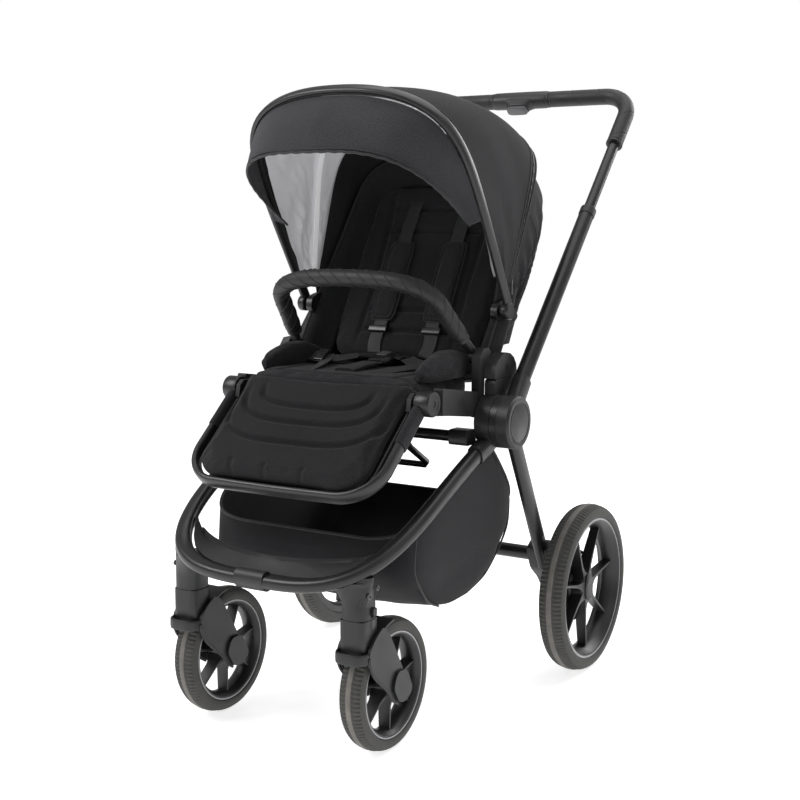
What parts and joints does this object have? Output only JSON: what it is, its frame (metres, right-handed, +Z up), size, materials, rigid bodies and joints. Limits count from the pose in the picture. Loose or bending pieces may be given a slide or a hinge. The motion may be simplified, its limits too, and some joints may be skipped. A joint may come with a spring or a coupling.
{
  "type": "baby stroller",
  "caption": "Folding baby stroller: bowed tube chassis, swivelling front wheels, reclining seat with canopy, bumper bar, footrest and basket.",
  "frame": {"origin": "on the floor, under the middle of the overall box", "axes": "+Z up, the child and the front wheels face -Y, +X is the child's left"},
  "size_m": [0.578, 0.9146, 1.06],
  "materials": {
    "frame_black": "satin black tube",
    "plastic_black": "fine-grained matt black moulding",
    "button_grey": "dark grey moulding",
    "tyre_rubber": "black tread with a slightly lighter centre rib",
    "rim_plastic": "satin black with a silver ring line",
    "leatherette": "black grained leatherette",
    "seat_fabric": "black woven fabric",
    "canopy_fabric": "charcoal black woven fabric",
    "basket_fabric": "thin black woven fabric",
    "webbing": "black ribbed webbing"
  },
  "bodies": {
    "chassis": {"front_frame": "frame_black", "cross_brace": "frame_black", "footboard": "plastic_black", "basket": "basket_fabric", "seat_frame": "plastic_black", "seat_pad": "seat_fabric", "under_seat_loop": "frame_black", "buckle": "plastic_black", "hub_plate_left": "plastic_black", "hub_plate_right": "plastic_black", "caster_housing_left": "plastic_black", "caster_housing_right": "plastic_black", "seat_mount_left": "plastic_black", "seat_mount_right": "plastic_black"},
    "caster_left": {"fork_left": "plastic_black"},
    "caster_right": {"fork_right": "plastic_black"},
    "front_wheel_left": {"front_rim_left": "rim_plastic", "front_tyre_left": "tyre_rubber"},
    "front_wheel_right": {"front_rim_right": "rim_plastic", "front_tyre_right": "tyre_rubber"},
    "swivel_lock_left": {"swivel_lock_left": "button_grey"},
    "swivel_lock_right": {"swivel_lock_right": "button_grey"},
    "rear_carriage": {"axle_beam": "frame_black", "rear_leg_left": "frame_black", "rear_leg_right": "frame_black", "axle_bracket_left": "plastic_black", "axle_bracket_right": "plastic_black"},
    "rear_wheel_left": {"rear_rim_left": "rim_plastic", "rear_tyre_left": "tyre_rubber"},
    "rear_wheel_right": {"rear_rim_right": "rim_plastic", "rear_tyre_right": "tyre_rubber"},
    "wheel_release_left": {"wheel_release_left": "button_grey"},
    "wheel_release_right": {"wheel_release_right": "button_grey"},
    "brake_pedal": {"brake_pedal": "plastic_black"},
    "handle": {"handle_joint_left": "plastic_black", "handle_joint_right": "plastic_black", "lower_handle_tube_left": "frame_black", "lower_handle_tube_right": "frame_black", "handle_collar_left": "plastic_black", "handle_collar_right": "plastic_black"},
    "handle_upper": {"handle_slider": "frame_black", "handle_housing": "plastic_black", "handle_grip_left": "leatherette", "handle_grip_right": "leatherette"},
    "handle_button": {"handle_button": "button_grey"},
    "backrest": {"backrest_frame": "frame_black", "backrest_pad": "seat_fabric", "backrest_shell": "canopy_fabric", "shoulder_strap_left": "webbing", "shoulder_strap_right": "webbing"},
    "canopy": {"canopy_bow": "frame_black", "canopy_shell": "canopy_fabric", "canopy_visor": "canopy_fabric"},
    "footrest": {"footrest_frame": "frame_black", "footrest_pad": "seat_fabric"},
    "bumper": {"bumper_bar": "leatherette"}
  },
  "joints": [
    {"name": "caster_swivel_left", "type": "hinge", "parent": "chassis", "child": "caster_left", "pos_m": [0.158, -0.397, 0.22], "axis": [0, 0, 1], "continuous": true},
    {"name": "front_wheel_spin_left", "type": "hinge", "parent": "caster_left", "child": "front_wheel_left", "pos_m": [0.158, -0.324, 0.103], "axis": [1, 0, 0], "continuous": true},
    {"name": "swivel_lock_slide_left", "type": "slide", "parent": "chassis", "child": "swivel_lock_left", "axis": [0, 0, -1], "range_m": [0, 0.003]},
    {"name": "caster_swivel_right", "type": "hinge", "parent": "chassis", "child": "caster_right", "pos_m": [-0.158, -0.397, 0.22], "axis": [0, 0, 1], "continuous": true},
    {"name": "front_wheel_spin_right", "type": "hinge", "parent": "caster_right", "child": "front_wheel_right", "pos_m": [-0.158, -0.324, 0.103], "axis": [1, 0, 0], "continuous": true},
    {"name": "swivel_lock_slide_right", "type": "slide", "parent": "chassis", "child": "swivel_lock_right", "axis": [0, 0, -1], "range_m": [0, 0.003]},
    {"name": "handle_fold", "type": "hinge", "parent": "chassis", "child": "handle", "pos_m": [0, -0.081, 0.482], "axis": [1, 0, 0], "range_deg": [0, 140]},
    {"name": "rear_leg_fold", "type": "hinge", "parent": "chassis", "child": "rear_carriage", "pos_m": [0, -0.081, 0.482], "axis": [1, 0, 0], "range_deg": [-45, 0]},
    {"name": "rear_wheel_spin_left", "type": "hinge", "parent": "rear_carriage", "child": "rear_wheel_left", "pos_m": [0.265, 0.184, 0.15], "axis": [1, 0, 0], "continuous": true},
    {"name": "wheel_release_press_left", "type": "slide", "parent": "rear_wheel_left", "child": "wheel_release_left", "axis": [-1, 0, 0], "range_m": [0, 0.002], "stiffness_N_per_m": 800, "springref_m": -0.001},
    {"name": "rear_wheel_spin_right", "type": "hinge", "parent": "rear_carriage", "child": "rear_wheel_right", "pos_m": [-0.265, 0.184, 0.15], "axis": [1, 0, 0], "continuous": true},
    {"name": "wheel_release_press_right", "type": "slide", "parent": "rear_wheel_right", "child": "wheel_release_right", "axis": [1, 0, 0], "range_m": [0, 0.002], "stiffness_N_per_m": 800, "springref_m": -0.001},
    {"name": "brake_press", "type": "hinge", "parent": "rear_carriage", "child": "brake_pedal", "pos_m": [0, 0.128, 0.213], "axis": [-1, 0, 0], "range_deg": [0, 20]},
    {"name": "handle_reach", "type": "slide", "parent": "handle", "child": "handle_upper", "axis": [0, 0.6809, 0.7324], "range_m": [-0.12, 0.06]},
    {"name": "fold_button_press", "type": "slide", "parent": "handle_upper", "child": "handle_button", "axis": [0, 0.6809, 0.7324], "range_m": [0, 0.002], "stiffness_N_per_m": 800, "springref_m": -0.001},
    {"name": "recline", "type": "hinge", "parent": "chassis", "child": "backrest", "pos_m": [0, -0.047, 0.566], "axis": [-1, 0, 0], "range_deg": [0, 45]},
    {"name": "canopy_turn", "type": "hinge", "parent": "backrest", "child": "canopy", "pos_m": [0, -0.019, 0.656], "axis": [-1, 0, 0], "range_deg": [0, 40]},
    {"name": "footrest_turn", "type": "hinge", "parent": "chassis", "child": "footrest", "pos_m": [0, -0.247, 0.526], "axis": [-1, 0, 0], "range_deg": [-20, 41]},
    {"name": "bumper_turn", "type": "hinge", "parent": "chassis", "child": "bumper", "pos_m": [0, -0.078, 0.5845], "axis": [1, 0, 0], "range_deg": [0, 40]}
  ],
  "couplings": [
    {"joint": "rear_leg_fold", "follows": "handle_fold", "ratio": -0.32}
  ]
}
